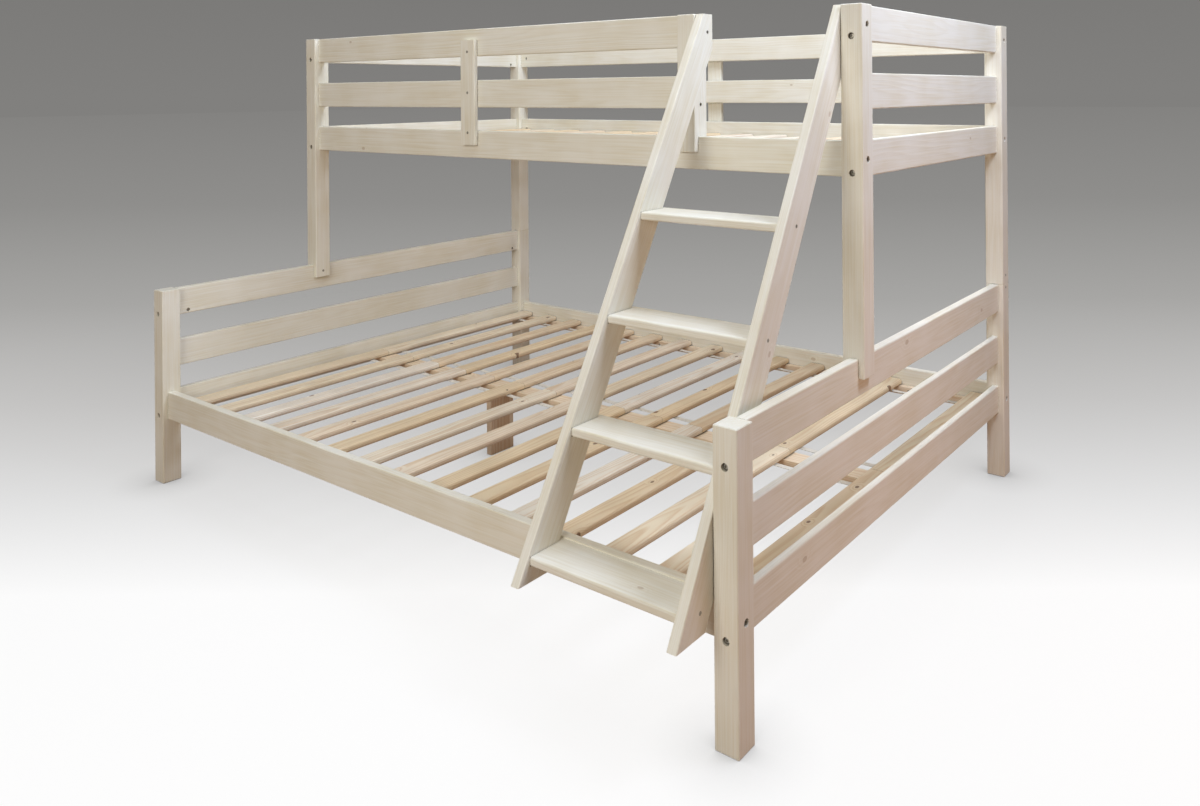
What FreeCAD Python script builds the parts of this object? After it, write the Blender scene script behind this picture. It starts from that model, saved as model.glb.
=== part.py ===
import FreeCAD, Part
import math
import os

# Triple bunk bed: a double bed below, a single bed above at the rear, and a leaning ladder.
# Lengths in millimetres. X runs along the bed, -Y is the ladder side, Z is up.

# Mattresses that the two frames are made for
mattress_length = 2000.0
lower_mattress_width = 1400.0
upper_mattress_width = 900.0
mattress_play = 8.0

# Timber sections
post = 52.0
rail_height = 80.0
rail_thick = 22.0
fork_rail_thick = 24.0
light_rail_thick = 18.0
slat_width = 55.0
slat_thick = 18.0
ledger_width = 18.0
lower_ledger_height = 25.0
upper_ledger_height = 21.0
beam_width = 58.0
beam_thick = 22.0
leg_thick = 22.0
leg_width = 94.0
batten_width = 60.0
batten_thick = 14.0
stringer_thick = 22.0
stringer_width = 75.0
tread_thick = 18.0
tread_depth = 92.0

# Heights above the floor, and steps between rails
total_height = 1340.0
lower_post_top = 570.0
lower_bed_drop = 382.0
upper_bed_drop = 378.0
rail_step = 148.0
lower_ledger_up = 27.0
upper_ledger_up = 21.0

# Slats
slat_count = 15
slat_side_play = 2.0
slat_end_play = 3.0
slat_middle_gap = 1.0
webbing_width = 17.0
webbing_thick = 1.0
webbing_inset = 65.0
webbing_end = 6.0

# Joints
tenon_thick = 10.0
tenon_length = 9.0
tenon_shoulder = 18.0
joint_play = 0.2
fork_length = 42.0
guard_fork_length = 38.0
beam_housing = 9.0
leg_tenon = 12.0
leg_tenon_width = 36.0
leg_tenon_thick = 12.0
pin_radius = 10.0
pin_half = 40.0
tread_housing = 6.0

# Guard and ladder
batten_low_up = 38.0
batten_top_down = 33.0
rear_batten_x = -16.0
tread_length = 350.0
tread_count = 4
tread_nose_setback = 5.0
bottom_tread_up = 77.0
first_rise = 212.0
top_tread_down = 75.0
ladder_foot_down = 48.0
ladder_top_setback = 8.2
ladder_top_cut = 46.0
leg_share = 0.346

# Eased edges
post_ease = 3.0
rail_ease = 3.0
slat_ease = 7.0
nose_ease = 5.0
small_ease = 1.5

# Connector bolts, barrel nuts and screws
bolt_radius = 3.0
bolt_head_radius = 5.0
bolt_head_height = 6.0
bolt_tip = 8.0
socket_radius = 2.9
socket_depth = 3.5
bolt_recess = 10.0
bolt_recess_radius = 7.5
slim_head_radius = 4.0
slim_recess = 7.0
slim_recess_radius = 4.5
bolt_hole_radius = 3.5
nut_radius = 5.0
nut_length = 14.0
nut_inset = 30.0
nut_bolt_play = 0.15
edge_bolt = 10.0
bed_side_bolt_up = 39.0
top_side_bolt_up = 36.0
insert_radius = 5.0
insert_length = 16.0
screw_radius = 2.0
screw_head_radius = 4.0
screw_head_height = 2.0
screw_play = 0.12
tread_screw_length = 45.0
batten_screw_length = 30.0
fork_screw_length = 32.0
pin_screw_length = 30.0
ledger_screw_length = 32.0
ledger_screw_count = 4
batten_screw_top = 34.0
batten_screw_low = 36.0
batten_screw_middle = 43.0
pin_screw_up = 26.0
pin_screw_down = 10.0
tread_screw_depth = 8.0
tread_screw_back = 38.0

overrun = 5.0

# Plan of the two frames
half_length = (mattress_length + post + rail_thick) / 2 + mattress_play
half_width = (lower_mattress_width + post + rail_thick) / 2 + mattress_play
upper_width = upper_mattress_width + post + rail_thick + mattress_play * 2
upper_front = half_width - upper_width
post_x = half_length - post / 2
front_y = -half_width + post / 2
rear_y = half_width - post / 2
upper_front_y = upper_front + post / 2
span_x = half_length - post
guard_end_x = span_x - tread_length - stringer_thick * 2
guard_start = guard_end_x - post
slat_pitch = (span_x * 2 - slat_side_play * 2 - slat_width) / (slat_count - 1)
leg_x = -half_length * leg_share

# Levels of the rails and of what lies on them
lower_bed_rail_z = lower_post_top - lower_bed_drop
lower_middle_rail_z = lower_bed_rail_z + rail_step
lower_top_rail_z = lower_post_top - rail_height
upper_bed_rail_z = total_height - upper_bed_drop
upper_middle_rail_z = upper_bed_rail_z + rail_step
upper_top_rail_z = total_height - rail_height
lower_ledger_top = lower_bed_rail_z + lower_ledger_up
upper_ledger_top = upper_bed_rail_z + upper_ledger_up
top_bolt_z = upper_top_rail_z + top_side_bolt_up
batten_low = upper_bed_rail_z + batten_low_up
batten_top = total_height - batten_top_down
bottom_tread_top = lower_bed_rail_z + bottom_tread_up
top_tread_top = upper_bed_rail_z - top_tread_down
ladder_foot_z = bottom_tread_top - ladder_foot_down

# Ladder line in the plane across the bed
rail_face = -half_width + (post - rail_thick) / 2
nose_line = rail_face - tread_depth - tread_nose_setback
ladder_run = upper_front + ladder_top_setback - nose_line
ladder_run_per_rise = ladder_run / (total_height - bottom_tread_top)
lean = math.atan(ladder_run_per_rise)
stringer_run = stringer_width / math.cos(lean)
right_stringer_x = span_x
left_stringer_x = guard_end_x


def nose_y(z):
    return nose_line + (z - bottom_tread_top) * ladder_run_per_rise


# The part's frame is centred on its outer box, and the ladder's foot stands out in front
centre_shift = -(half_width + nose_y(ladder_foot_z)) / 2

parts = {}
bolts = []
screws = {}


def box(x0, x1, y0, y1, z0, z1):
    return Part.makeBox(x1 - x0, y1 - y0, z1 - z0, FreeCAD.Vector(x0, y0, z0))


def rod(radius, at, toward, length):
    return Part.makeCylinder(radius, length, FreeCAD.Vector(*at), FreeCAD.Vector(*toward))


def point(at, toward, distance):
    return tuple(a + t * distance for a, t in zip(at, toward))


def is_along(edge, axis):
    first, last = edge.Vertexes[0].Point, edge.Vertexes[-1].Point
    run = last.sub(first)
    return run.Length > 0 and abs(run.dot(axis)) > run.Length * math.cos(math.radians(1))


def ease(shape, radius, axis):
    edges = [e for e in shape.Edges if is_along(e, FreeCAD.Vector(*axis))]
    return shape.makeFillet(radius, edges)


def ease_end(shape, size, z):
    edges = [e for e in shape.Edges if all(abs(v.Z - z) < joint_play for v in e.Vertexes)]
    return shape.makeChamfer(size, edges)


# Fasteners: each row also cuts its own bores in the members that it joins
def add_bolt(at, toward, reach, members, nut_way=None, slim=False):
    """A bolt from the face point at, in the direction toward, into a nut at the distance reach."""
    head = dict(head=bolt_head_radius, recess=bolt_recess, bore=bolt_recess_radius)
    if slim:
        head = dict(head=slim_head_radius, recess=slim_recess, bore=slim_recess_radius)
    bolts.append(dict(at=at, toward=toward, reach=reach, members=members, nut_way=nut_way, **head))


def bolt_solid(row):
    at, toward = row["at"], row["toward"]
    seat = point(at, toward, row["recess"])
    head = point(seat, toward, -bolt_head_height)
    shank = rod(bolt_radius, seat, toward, row["reach"] - row["recess"] + bolt_tip)
    cap = rod(row["head"], head, toward, bolt_head_height)
    ring = [FreeCAD.Vector(math.cos(math.radians(60 * k)), math.sin(math.radians(60 * k)), 0)
            for k in range(7)]
    hexagon = Part.Face(Part.makePolygon([v.multiply(socket_radius) for v in ring]))
    key = hexagon.extrude(FreeCAD.Vector(0, 0, socket_depth + overrun))
    turn = FreeCAD.Rotation(FreeCAD.Vector(0, 0, 1), FreeCAD.Vector(*toward))
    key.Placement = FreeCAD.Placement(FreeCAD.Vector(*point(head, toward, -overrun)), turn)
    return cap.fuse(shank).cut(key)


def bolt_bore(row):
    at, toward = row["at"], row["toward"]
    recess = rod(row["bore"], point(at, toward, -overrun), toward, row["recess"] + overrun)
    bore = rod(bolt_hole_radius, at, toward, row["reach"] + bolt_tip + overrun / 2)
    return recess.fuse(bore)


def nut_centre(row):
    return point(row["at"], row["toward"], row["reach"])


def nut_solid(row):
    way = row["nut_way"]
    low = point(nut_centre(row), way, -nut_length / 2)
    body = rod(nut_radius, low, way, nut_length)
    before = point(nut_centre(row), row["toward"], -nut_radius - overrun)
    thread = rod(bolt_radius + nut_bolt_play, before, row["toward"], (nut_radius + overrun) * 2)
    return body.cut(thread)


def nut_bore(row):
    way = row["nut_way"]
    low = point(nut_centre(row), way, -nut_length / 2 - joint_play)
    return rod(nut_radius + joint_play, low, way, nut_length + rail_thick)


def add_screw(node, at, toward, length, members):
    screws.setdefault(node, []).append(dict(at=at, toward=toward, length=length, members=members))


def screw_shape(row, play):
    at, toward = row["at"], row["toward"]
    head = Part.makeCone(screw_head_radius + play, screw_radius + play, screw_head_height,
                         FreeCAD.Vector(*at), FreeCAD.Vector(*toward))
    shank = rod(screw_radius + play, at, toward, row["length"] + play)
    return head.fuse(shank)


def joined(name, shape):
    """Cut every bolt, nut and screw bore that passes through the named member."""
    for row in bolts:
        if name in row["members"]:
            shape = shape.cut(bolt_bore(row))
            if row["nut_way"] and name == row["members"][-1]:
                shape = shape.cut(nut_bore(row))
    for rows in screws.values():
        for row in rows:
            if name in row["members"]:
                shape = shape.cut(screw_shape(row, screw_play))
    return shape.removeSplitter()


def rail_along_x(x0, x1, y, z, thick, tenons=(1, 1)):
    """A rail between posts, with eased edges and a stub tenon at each end that has one."""
    board = ease(box(x0, x1, y - thick / 2, y + thick / 2, z, z + rail_height), rail_ease, (1, 0, 0))
    t0 = x0 - tenon_length * tenons[0]
    t1 = x1 + tenon_length * tenons[1]
    stub = box(t0, t1, y - tenon_thick / 2, y + tenon_thick / 2,
               z + tenon_shoulder, z + rail_height - tenon_shoulder)
    return board.fuse(stub)


def rail_along_y(x, y0, y1, z, thick):
    board = ease(box(x - thick / 2, x + thick / 2, y0, y1, z, z + rail_height), rail_ease, (0, 1, 0))
    stub = box(x - tenon_thick / 2, x + tenon_thick / 2, y0 - tenon_length, y1 + tenon_length,
               z + tenon_shoulder, z + rail_height - tenon_shoulder)
    return board.fuse(stub)


def mortise(x, y, z, toward):
    """The pocket for a rail's stub tenon, entered from the post face at x, y."""
    half = tenon_thick / 2 + joint_play
    deep = tenon_length + joint_play
    low = z + tenon_shoulder - joint_play
    high = z + rail_height - tenon_shoulder + joint_play
    if toward[0]:
        ends = sorted((x - overrun * toward[0], x + deep * toward[0]))
        return box(ends[0], ends[1], y - half, y + half, low, high)
    ends = sorted((y - overrun * toward[1], y + deep * toward[1]))
    return box(x - half, x + half, ends[0], ends[1], low, high)


sides = {"left": -1, "right": 1}
lower_end_levels = (("bed", lower_bed_rail_z, light_rail_thick),
                    ("middle", lower_middle_rail_z, light_rail_thick),
                    ("top", lower_top_rail_z, fork_rail_thick))
upper_end_levels = (("bed", upper_bed_rail_z, rail_thick),
                    ("middle", upper_middle_rail_z, rail_thick),
                    ("top", upper_top_rail_z, rail_thick))


def plan_end_bolts():
    """Bolts from the front and rear faces of the posts into the bed and top rails of each end."""
    for tier, levels, front in (("lower", lower_end_levels, -half_width),
                                ("upper", upper_end_levels, upper_front)):
        for side, s in sides.items():
            for level, z, thick in levels:
                if level == "middle":
                    continue
                rail = "%s_%s_end_%s_rail" % (tier, side, level)
                for row, y, way in (("front", front, 1), ("rear", half_width, -1)):
                    add_bolt((s * post_x, y, z + edge_bolt), (0, way, 0), post + nut_inset,
                             ("%s_post_%s_%s" % (tier, row, side), rail), (-s, 0, 0))


def plan_side_bolts():
    """Bolts from the outer ends of the posts into the rails along the bed."""
    for side, s in sides.items():
        for tier, row, y, z, rail in (
                ("lower", "front", front_y, lower_bed_rail_z, "lower_front_side_rail"),
                ("lower", "rear", rear_y, lower_bed_rail_z, "lower_rear_side_rail"),
                ("upper", "front", upper_front_y, upper_bed_rail_z, "upper_front_side_rail"),
                ("upper", "rear", rear_y, upper_bed_rail_z, "upper_rear_side_rail"),
                ("upper", "rear", rear_y, upper_top_rail_z, "rear_guard_top_rail")):
            inward = 1 if row == "front" else -1
            up = bed_side_bolt_up if z < upper_top_rail_z else top_side_bolt_up
            add_bolt((s * half_length, y, z + up), (-s, 0, 0), post + nut_inset,
                     ("%s_post_%s_%s" % (tier, row, side), rail), (0, inward, 0))
    left = "upper_post_front_left"
    middle_bolt_z = upper_middle_rail_z + edge_bolt
    for z, rail in ((top_bolt_z, "front_guard_top_rail"),
                    (middle_bolt_z, "front_guard_middle_rail")):
        add_bolt((-half_length, upper_front_y, z), (1, 0, 0), post + nut_inset, (left, rail), (0, 1, 0))
    add_bolt((guard_end_x, upper_front_y, middle_bolt_z), (-1, 0, 0), post + nut_inset,
             ("guard_end_post", "front_guard_middle_rail"), (0, 1, 0), slim=True)
    add_bolt((left_stringer_x + stringer_thick, upper_front_y, top_bolt_z), (-1, 0, 0),
             stringer_thick + post + nut_inset,
             ("ladder_left_stringer", "guard_end_post", "front_guard_top_rail"), (0, 1, 0), slim=True)
    add_bolt((half_length, upper_front_y, top_bolt_z), (-1, 0, 0),
             post + insert_length - bolt_tip, ("upper_post_front_right", "ladder_right_stringer"))


def tread_tops():
    """Tread heights: a taller first step, then equal steps up to the top tread."""
    second = bottom_tread_top + first_rise
    steps = tread_count - 2
    rise = (top_tread_top - second) / steps
    return [bottom_tread_top] + [second + rise * k for k in range(steps + 1)]


def plan_screws():
    for k, top in enumerate(tread_tops()):
        tread = "ladder_tread_%d" % (k + 1)
        y = nose_y(top) + tread_nose_setback + tread_screw_back
        z = top - tread_screw_depth
        add_screw("ladder_tread_screws", (left_stringer_x, y, z), (1, 0, 0), tread_screw_length,
                  ("ladder_left_stringer", tread))
        add_screw("ladder_tread_screws", (right_stringer_x, y, z), (-1, 0, 0), tread_screw_length,
                  ("ladder_right_stringer", tread))
    front_x = (guard_start - span_x) / 2
    front = upper_front_y - rail_thick / 2 - batten_thick
    for z, rail in ((batten_top - batten_screw_top, "front_guard_top_rail"),
                    (upper_middle_rail_z + batten_screw_middle, "front_guard_middle_rail"),
                    (batten_low + batten_screw_low, "upper_front_side_rail")):
        add_screw("batten_screws", (front_x, front, z), (0, 1, 0), batten_screw_length,
                  ("front_guard_batten", rail))
    back = rear_y + rail_thick / 2 + batten_thick
    for z, rail in ((batten_top - batten_screw_top, "rear_guard_top_rail"),
                    (upper_middle_rail_z + batten_screw_middle, "rear_guard_middle_rail"),
                    (batten_low + batten_screw_low, "upper_rear_side_rail")):
        add_screw("batten_screws", (rear_batten_x, back, z), (0, -1, 0), batten_screw_length,
                  ("rear_guard_batten", rail))
    for side, s in sides.items():
        add_screw("fork_screws", (s * (post_x - post / 2), upper_front_y, lower_post_top - fork_length / 2),
                  (s, 0, 0), fork_screw_length,
                  ("upper_post_front_%s" % side, "lower_%s_end_top_rail" % side))
        for tier, z in (("upper", lower_post_top + pin_screw_up), ("lower", lower_post_top - pin_screw_down)):
            add_screw("post_pin_screws", (s * half_length, rear_y, z), (-s, 0, 0), pin_screw_length,
                      ("%s_post_rear_%s" % (tier, side), "post_pins"))
    x = (guard_start + guard_end_x) / 2
    z = upper_bed_rail_z + rail_height - guard_fork_length / 2
    add_screw("fork_screws", (x, upper_front + post, z), (0, -1, 0), fork_screw_length,
              ("guard_end_post", "upper_front_side_rail"))
    reach = span_x * (ledger_screw_count - 1) / ledger_screw_count
    for tier, row, y, way, ledger_z in (
            ("lower", "front", front_y, 1, lower_ledger_top - lower_ledger_height / 2),
            ("lower", "rear", rear_y, -1, lower_ledger_top - lower_ledger_height / 2),
            ("upper", "front", upper_front_y, 1, upper_ledger_top - upper_ledger_height / 2),
            ("upper", "rear", rear_y, -1, upper_ledger_top - upper_ledger_height / 2)):
        face = y + way * (rail_thick / 2 + ledger_width)
        for k in range(ledger_screw_count):
            x = -reach + reach * 2 * k / (ledger_screw_count - 1)
            add_screw("ledger_screws", (x, face, ledger_z), (0, -way, 0), ledger_screw_length,
                      ("%s_%s_ledger" % (tier, row), "%s_%s_side_rail" % (tier, row)))


def lower_posts():
    for side, s in sides.items():
        for row, y, way in (("front", front_y, 1), ("rear", rear_y, -1)):
            x = s * post_x
            body = box(x - post / 2, x + post / 2, y - post / 2, y + post / 2, 0, lower_post_top)
            body = ease(body, post_ease, (0, 0, 1))
            body = ease_end(body, small_ease, lower_post_top)
            body = ease_end(body, small_ease, 0)
            body = body.cut(mortise(s * span_x, y, lower_bed_rail_z, (s, 0, 0)))
            for level, z, thick in lower_end_levels:
                body = body.cut(mortise(x, y + way * post / 2, z, (0, -way, 0)))
            if row == "rear":
                body = body.cut(rod(pin_radius + joint_play, (x, y, lower_post_top - pin_half), (0, 0, 1),
                                    pin_half + overrun))
            name = "lower_post_%s_%s" % (row, side)
            parts[name] = joined(name, body)


def fork_slot(x, y, thick, low, length, along_x):
    """The open slot that lets a post straddle the rail it stands on."""
    half = thick / 2 + joint_play
    wide = post / 2 + overrun
    if along_x:
        return box(x - wide, x + wide, y - half, y + half, low - overrun, low + length)
    return box(x - half, x + half, y - wide, y + wide, low - overrun, low + length)


def upper_posts():
    for side, s in sides.items():
        x = s * post_x
        for row, y, way in (("front", upper_front_y, 1), ("rear", rear_y, -1)):
            low = lower_post_top - (fork_length if row == "front" else 0)
            body = box(x - post / 2, x + post / 2, y - post / 2, y + post / 2, low, total_height)
            body = ease(body, post_ease, (0, 0, 1))
            body = ease_end(body, small_ease, total_height)
            body = ease_end(body, small_ease, low)
            for level, z, thick in upper_end_levels:
                body = body.cut(mortise(x, y + way * post / 2, z, (0, -way, 0)))
            levels = [upper_bed_rail_z, upper_middle_rail_z, upper_top_rail_z]
            if row == "front" and side == "right":
                levels = [upper_bed_rail_z]
            for z in levels:
                body = body.cut(mortise(s * span_x, y, z, (s, 0, 0)))
            if row == "front":
                body = body.cut(fork_slot(x, y, fork_rail_thick, low, fork_length, False))
            else:
                body = body.cut(rod(pin_radius + joint_play, (x, y, low - overrun), (0, 0, 1),
                                    pin_half + overrun))
            name = "upper_post_%s_%s" % (row, side)
            parts[name] = joined(name, body)


def post_pins():
    """The round pins inside the joints between the rear posts."""
    low = lower_post_top - pin_half + joint_play
    pins = [rod(pin_radius, (s * post_x, rear_y, low), (0, 0, 1), (pin_half - joint_play) * 2)
            for s in sides.values()]
    parts["post_pins"] = joined("post_pins", Part.makeCompound(pins))


def end_rails():
    for tier, levels, front in (("lower", lower_end_levels, -half_width),
                                ("upper", upper_end_levels, upper_front)):
        for side, s in sides.items():
            for level, z, thick in levels:
                name = "%s_%s_end_%s_rail" % (tier, side, level)
                rail = rail_along_y(s * post_x, front + post, half_width - post, z, thick)
                if tier == "lower" and level == "bed":
                    rail = rail.cut(beam_pocket(s, thick))
                parts[name] = joined(name, rail)


def beam_pocket(s, thick):
    """The housing in the inner face of an end rail that carries the centre beam."""
    inner = post_x - thick / 2
    half = beam_width / 2 + joint_play
    ends = sorted((s * (inner - overrun), s * (inner + beam_housing + joint_play)))
    return box(ends[0], ends[1], -half, half, lower_ledger_top - beam_thick - joint_play,
               lower_ledger_top + joint_play)


def side_rails():
    for name, y, z in (("lower_front_side_rail", front_y, lower_bed_rail_z),
                       ("lower_rear_side_rail", rear_y, lower_bed_rail_z),
                       ("upper_front_side_rail", upper_front_y, upper_bed_rail_z),
                       ("upper_rear_side_rail", rear_y, upper_bed_rail_z),
                       ("rear_guard_middle_rail", rear_y, upper_middle_rail_z),
                       ("rear_guard_top_rail", rear_y, upper_top_rail_z)):
        parts[name] = joined(name, rail_along_x(-span_x, span_x, y, z, rail_thick))
    for name, z in (("front_guard_middle_rail", upper_middle_rail_z),
                    ("front_guard_top_rail", upper_top_rail_z)):
        rail = rail_along_x(-span_x, guard_start, upper_front_y, z, rail_thick)
        parts[name] = joined(name, rail)


def guard_end_post():
    low = upper_bed_rail_z + rail_height - guard_fork_length
    body = box(guard_start, guard_end_x, upper_front, upper_front + post, low, total_height)
    body = ease(body, post_ease, (0, 0, 1))
    body = ease_end(body, small_ease, total_height)
    body = ease_end(body, small_ease, low)
    x = (guard_start + guard_end_x) / 2
    body = body.cut(fork_slot(x, upper_front_y, rail_thick, low, guard_fork_length, True))
    for z in (upper_middle_rail_z, upper_top_rail_z):
        body = body.cut(mortise(guard_start, upper_front_y, z, (1, 0, 0)))
    parts["guard_end_post"] = joined("guard_end_post", body)


def guard_battens():
    front = upper_front_y - rail_thick / 2 - batten_thick
    back = rear_y + rail_thick / 2
    for name, x, y in (("front_guard_batten", (guard_start - span_x) / 2, front),
                       ("rear_guard_batten", rear_batten_x, back)):
        body = box(x - batten_width / 2, x + batten_width / 2, y, y + batten_thick,
                   batten_low, batten_top)
        body = ease(body, rail_ease, (0, 0, 1))
        parts[name] = joined(name, body)


def ledgers():
    for name, y, way, top, high in (
            ("lower_front_ledger", front_y, 1, lower_ledger_top, lower_ledger_height),
            ("lower_rear_ledger", rear_y, -1, lower_ledger_top, lower_ledger_height),
            ("upper_front_ledger", upper_front_y, 1, upper_ledger_top, upper_ledger_height),
            ("upper_rear_ledger", rear_y, -1, upper_ledger_top, upper_ledger_height)):
        face = y + way * rail_thick / 2
        ends = sorted((face, face + way * ledger_width))
        reach = span_x - mattress_play
        body = box(-reach, reach, ends[0], ends[1], top - high, top)
        parts[name] = joined(name, ease(body, small_ease, (1, 0, 0)))


def centre_beam():
    reach = post_x - light_rail_thick / 2 + beam_housing
    half = beam_width / 2
    low = lower_ledger_top - beam_thick
    body = ease(box(-reach, reach, -half, half, low, lower_ledger_top), small_ease, (1, 0, 0))
    pocket = box(leg_x - leg_tenon_thick / 2 - joint_play, leg_x + leg_tenon_thick / 2 + joint_play,
                 -leg_tenon_width / 2 - joint_play, leg_tenon_width / 2 + joint_play,
                 low - overrun, low + leg_tenon + joint_play)
    parts["centre_beam"] = body.cut(pocket)
    leg = box(leg_x - leg_thick / 2, leg_x + leg_thick / 2, -leg_width / 2, leg_width / 2, 0, low)
    leg = ease(leg, small_ease, (0, 0, 1))
    tenon = box(leg_x - leg_tenon_thick / 2, leg_x + leg_tenon_thick / 2,
                -leg_tenon_width / 2, leg_tenon_width / 2, low - overrun, low + leg_tenon)
    parts["centre_beam_leg"] = leg.fuse(tenon).removeSplitter()


def slat_row(y0, y1, top):
    """One rank of slats at equal pitch, each with rounded long edges."""
    row = []
    for k in range(slat_count):
        x = (k - (slat_count - 1) / 2) * slat_pitch
        body = box(x - slat_width / 2, x + slat_width / 2, y0, y1, top, top + slat_thick)
        row.append(ease(body, slat_ease, (0, 1, 0)))
    return Part.makeCompound(row)


def webbing(y0, y1, top):
    """Two tapes stapled under a rank of slats, near its ends, which keep the slats at their pitch."""
    reach = (slat_pitch * (slat_count - 1) + slat_width) / 2 - webbing_end
    tapes = []
    for y in (y0 + webbing_inset, y1 - webbing_inset):
        tapes.append(box(-reach, reach, y - webbing_width / 2, y + webbing_width / 2, top - webbing_thick, top))
    return Part.makeCompound(tapes)


def slats():
    inner = half_width - (post + rail_thick) / 2 - slat_end_play
    front = upper_front + (post + rail_thick) / 2 + slat_end_play
    middle = slat_middle_gap / 2
    for name, y0, y1, top in (("lower_%s_front", -inner, -middle, lower_ledger_top),
                              ("lower_%s_rear", middle, inner, lower_ledger_top),
                              ("upper_%s", front, inner, upper_ledger_top)):
        parts[name % "slats"] = slat_row(y0, y1, top)
        parts[name % "webbing"] = webbing(y0, y1, top)


def stringer(x0):
    """A ladder side: a slanting board with a level foot, a level top and an upright rear cut."""
    rear_cut = upper_front + ladder_top_cut
    z_cut = bottom_tread_top + (rear_cut - stringer_run - nose_line) / ladder_run_per_rise
    profile = ((nose_y(ladder_foot_z), ladder_foot_z), (nose_y(total_height), total_height),
               (rear_cut, total_height), (rear_cut, z_cut),
               (nose_y(ladder_foot_z) + stringer_run, ladder_foot_z))
    corners = [FreeCAD.Vector(x0, y, z) for y, z in profile]
    face = Part.Face(Part.makePolygon(corners + corners[:1]))
    body = face.extrude(FreeCAD.Vector(stringer_thick, 0, 0))
    return ease(body, rail_ease, (0, math.sin(lean), math.cos(lean)))


def tread_box(top, x0, x1, play):
    y = nose_y(top) + tread_nose_setback
    return box(x0, x1, y - play, y + tread_depth + play, top - tread_thick - play, top + play)


def ladder():
    inner_left = left_stringer_x + stringer_thick
    inner_right = inner_left + tread_length
    for side, x in (("left", left_stringer_x), ("right", inner_right)):
        body = stringer(x)
        for top in tread_tops():
            body = body.cut(tread_box(top, inner_left - tread_housing, inner_right + tread_housing, joint_play))
        name = "ladder_%s_stringer" % side
        if side == "right":
            face = right_stringer_x
            body = body.cut(rod(insert_radius + joint_play, (face + overrun, upper_front_y, top_bolt_z),
                                (-1, 0, 0), insert_length + overrun + joint_play))
        parts[name] = joined(name, body)
    for k, top in enumerate(tread_tops()):
        body = tread_box(top, inner_left - tread_housing, inner_right + tread_housing, 0)
        nose = nose_y(top) + tread_nose_setback
        edges = [e for e in body.Edges if is_along(e, FreeCAD.Vector(1, 0, 0))
                 and abs(e.Vertexes[0].Y - nose) < joint_play]
        name = "ladder_tread_%d" % (k + 1)
        parts[name] = joined(name, body.makeFillet(nose_ease, edges))


def fasteners():
    ladder_rows = [row for row in bolts if "stringer" in "".join(row["members"])]
    frame_rows = [row for row in bolts if row not in ladder_rows]
    parts["ladder_bolts"] = Part.makeCompound([bolt_solid(row) for row in ladder_rows])
    parts["frame_bolts"] = Part.makeCompound([bolt_solid(row) for row in frame_rows])
    parts["barrel_nuts"] = Part.makeCompound([nut_solid(row) for row in bolts if row["nut_way"]])
    for name, rows in screws.items():
        parts[name] = Part.makeCompound([screw_shape(row, 0) for row in rows])
    at = (right_stringer_x, upper_front_y, top_bolt_z)
    sleeve = rod(insert_radius, at, (-1, 0, 0), insert_length)
    parts["ladder_insert"] = sleeve.cut(rod(bolt_radius + nut_bolt_play, point(at, (1, 0, 0), overrun),
                                            (-1, 0, 0), insert_length + overrun * 2))


def main():
    plan_end_bolts()
    plan_side_bolts()
    plan_screws()
    lower_posts()
    upper_posts()
    post_pins()
    end_rails()
    side_rails()
    guard_end_post()
    guard_battens()
    ledgers()
    centre_beam()
    slats()
    ladder()
    fasteners()
    os.makedirs("parts", exist_ok=True)
    for name, shape in sorted(parts.items()):
        shape.translate(FreeCAD.Vector(0, centre_shift, 0))
        shape.exportStep("parts/%s.step" % name)
        print(name, len(shape.Solids), "solids", "valid" if shape.isValid() else "not valid")
    print(len(parts), "nodes; shift in Y %.2f" % centre_shift)


main()
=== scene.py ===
# %% [markdown]
# This is a triple bunk bed: a wide bed below, a narrow one above it, and a ladder leaning on the front.
# It is limewashed pine with bare pine slats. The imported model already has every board, bolt and screw at
# its real size, so this lesson dresses it: a camera, a finish for each board, threads and recesses for the
# fasteners, woven tapes, a floor and lamps.

# %% Load the bed
import math
import random

import bmesh
import bpy
from mathutils import Matrix, Vector


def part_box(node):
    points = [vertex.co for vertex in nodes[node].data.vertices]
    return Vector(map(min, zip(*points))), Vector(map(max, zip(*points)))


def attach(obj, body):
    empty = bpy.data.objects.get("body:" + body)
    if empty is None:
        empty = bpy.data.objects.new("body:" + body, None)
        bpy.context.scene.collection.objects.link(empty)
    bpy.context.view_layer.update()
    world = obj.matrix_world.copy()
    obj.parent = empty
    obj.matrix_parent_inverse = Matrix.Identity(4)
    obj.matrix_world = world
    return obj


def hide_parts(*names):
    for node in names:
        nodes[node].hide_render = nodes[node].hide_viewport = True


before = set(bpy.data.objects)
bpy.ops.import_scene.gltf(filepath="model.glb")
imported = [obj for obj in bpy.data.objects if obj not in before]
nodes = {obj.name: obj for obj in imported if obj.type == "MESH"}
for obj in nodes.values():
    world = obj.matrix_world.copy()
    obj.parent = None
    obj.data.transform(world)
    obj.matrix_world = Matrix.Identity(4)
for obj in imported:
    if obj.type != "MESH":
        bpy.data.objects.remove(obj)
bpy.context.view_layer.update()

# %% [markdown]
# The viewer stands at the front right corner, about as high as the upper mattress, and looks level, so the
# posts stay upright in the picture. A tilted camera would make them lean. The bed is brought down into the
# frame with the lens shift instead, as a view camera does.

# %% Camera
PHOTO = (1200, 806)
SENSOR_WIDTH = 36.0
FOCAL_PX = 940.2
LEVEL_POINT_PX = (705.9, 91.4)
EYE = Vector((1.9352, -2.0376, 1.1518))
YAW = 0.6141
ROLL = -0.0077

ahead = Vector((-math.sin(YAW), math.cos(YAW), 0))
sideways = Vector((math.cos(YAW), math.sin(YAW), 0))
upright = Vector((0, 0, 1))
right = sideways * math.cos(ROLL) + upright * math.sin(ROLL)
above = upright * math.cos(ROLL) - sideways * math.sin(ROLL)

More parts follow.
